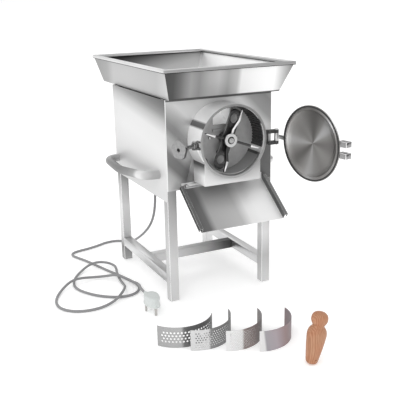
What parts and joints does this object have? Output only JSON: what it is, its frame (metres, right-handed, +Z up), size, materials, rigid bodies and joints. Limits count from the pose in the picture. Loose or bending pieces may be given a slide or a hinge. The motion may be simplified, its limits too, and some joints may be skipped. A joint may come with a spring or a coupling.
{
  "type": "top-fed crushing mill",
  "caption": "Stainless crushing mill on a four-leg stand: tray hopper, drum chamber with bladed rotor and swing-open door, sloped chute, mains cord, loose curved screens and wooden pusher.",
  "frame": {"origin": "on the floor, at the centre of the four leg feet's tapped holes", "axes": "+X to the operator's right, +Y to the back of the machine (the chamber and chute face -Y), +Z up"},
  "size_m": [0.9643, 1.493, 0.926],
  "materials": {
    "polished_steel": "mirror polished stainless sheet",
    "satin_steel": "satin stainless steel",
    "cast_steel": "dark cast and ground steel",
    "blade_steel": "ground stainless blade",
    "knob_cast": "worn cast knob",
    "dark_rubber": "dark rubber",
    "cord_pvc": "grey flexible PVC sheath",
    "plug_plastic": "light grey moulded plastic",
    "plug_brass": "plated brass pins",
    "pusher_wood": "oiled turned wood",
    "motor_paint": "enamel",
    "screen_steel": "thin perforated stainless sheet"
  },
  "bodies": {
    "machine": {"leg_front_left": "polished_steel", "leg_front_right": "polished_steel", "leg_back_left": "polished_steel", "leg_back_right": "polished_steel", "foot_plates": "satin_steel", "rail_left": "polished_steel", "rail_right": "polished_steel", "rail_cross": "polished_steel", "side_panel_left": "polished_steel", "side_panel_right": "polished_steel", "front_panel": "polished_steel", "back_panel": "polished_steel", "cabinet_floor": "satin_steel", "hopper_tray": "polished_steel", "hopper_rim": "polished_steel", "feed_duct": "satin_steel", "chamber_drum": "satin_steel", "chamber_back": "cast_steel", "grinding_liners": "cast_steel", "screen_rests": "cast_steel", "discharge_throat": "polished_steel", "discharge_chute": "polished_steel", "machine_bolts": "satin_steel", "hinge_bracket": "cast_steel", "pivot_pins": "satin_steel", "latch_fork": "satin_steel", "bearing_housing": "cast_steel", "shaft_bearings": "satin_steel", "drive_belt": "dark_rubber", "motor": "motor_paint", "screen_fitted": "screen_steel", "handle_left": "polished_steel", "handle_right": "polished_steel", "cord_gland": "dark_rubber", "mains_cord": "cord_pvc", "plug_body": "plug_plastic", "plug_pins": "plug_brass"},
    "door": {"door_lid": "satin_steel", "door_gasket": "dark_rubber", "door_arm": "satin_steel", "door_lugs": "satin_steel"},
    "swing_bolt": {"latch_bolt": "satin_steel"},
    "knob_washer": {"latch_washer": "satin_steel"},
    "clamp_knob": {"latch_knob": "knob_cast"},
    "rotor": {"rotor_shaft": "blade_steel", "rotor_hub": "blade_steel", "rotor_bar": "cast_steel", "blade_1": "blade_steel", "blade_2": "blade_steel", "blade_3": "blade_steel", "blade_4": "blade_steel", "hub_washer": "blade_steel", "hub_nut": "blade_steel", "driven_pulley": "cast_steel"},
    "motor_rotor": {"motor_pulley": "cast_steel"},
    "coarse_screen": {"screen_coarse": "screen_steel"},
    "medium_screen": {"screen_medium": "screen_steel"},
    "fine_screen": {"screen_fine": "screen_steel"},
    "plain_screen": {"screen_plain": "screen_steel"},
    "wooden_pusher": {"pusher": "pusher_wood"}
  },
  "joints": [
    {"name": "door_hinge", "type": "hinge", "parent": "machine", "child": "door", "pos_m": [0.183, -0.404, 0.651], "axis": [0, 0, 1], "range_deg": [-101, 70]},
    {"name": "latch_swing", "type": "hinge", "parent": "machine", "child": "swing_bolt", "pos_m": [-0.163, -0.393, 0.651], "axis": [0, 0, 1], "range_deg": [-30, 65]},
    {"name": "knob_travel", "type": "slide", "parent": "swing_bolt", "child": "knob_washer", "axis": [0.9063, 0.4226, 0], "range_m": [0, 0.021]},
    {"name": "knob_turn", "type": "hinge", "parent": "knob_washer", "child": "clamp_knob", "pos_m": [-0.2355, -0.42681, 0.651], "axis": [0.9063, 0.4226, 0], "range_deg": [0, 2520]},
    {"name": "rotor_spin", "type": "hinge", "parent": "machine", "child": "rotor", "pos_m": [0, -0.35, 0.651], "axis": [0, 1, 0], "continuous": true},
    {"name": "motor_spin", "type": "hinge", "parent": "machine", "child": "motor_rotor", "pos_m": [0.095, 0.15, 0.552], "axis": [0, 1, 0], "continuous": true},
    {"name": "coarse_screen_lift", "type": "slide", "parent": "machine", "child": "coarse_screen", "axis": [0, 0, 1], "range_m": [0, 0.25]},
    {"name": "medium_screen_lift", "type": "slide", "parent": "machine", "child": "medium_screen", "axis": [0, 0, 1], "range_m": [0, 0.25]},
    {"name": "fine_screen_lift", "type": "slide", "parent": "machine", "child": "fine_screen", "axis": [0, 0, 1], "range_m": [0, 0.25]},
    {"name": "plain_screen_lift", "type": "slide", "parent": "machine", "child": "plain_screen", "axis": [0, 0, 1], "range_m": [0, 0.25]},
    {"name": "wooden_pusher_lift", "type": "slide", "parent": "machine", "child": "wooden_pusher", "axis": [0, 0, 1], "range_m": [0, 0.25]}
  ],
  "couplings": [
    {"joint": "knob_travel", "follows": "knob_turn", "m_per_rad": 0.00047746},
    {"joint": "motor_spin", "follows": "rotor_spin", "ratio": 0.58621}
  ]
}
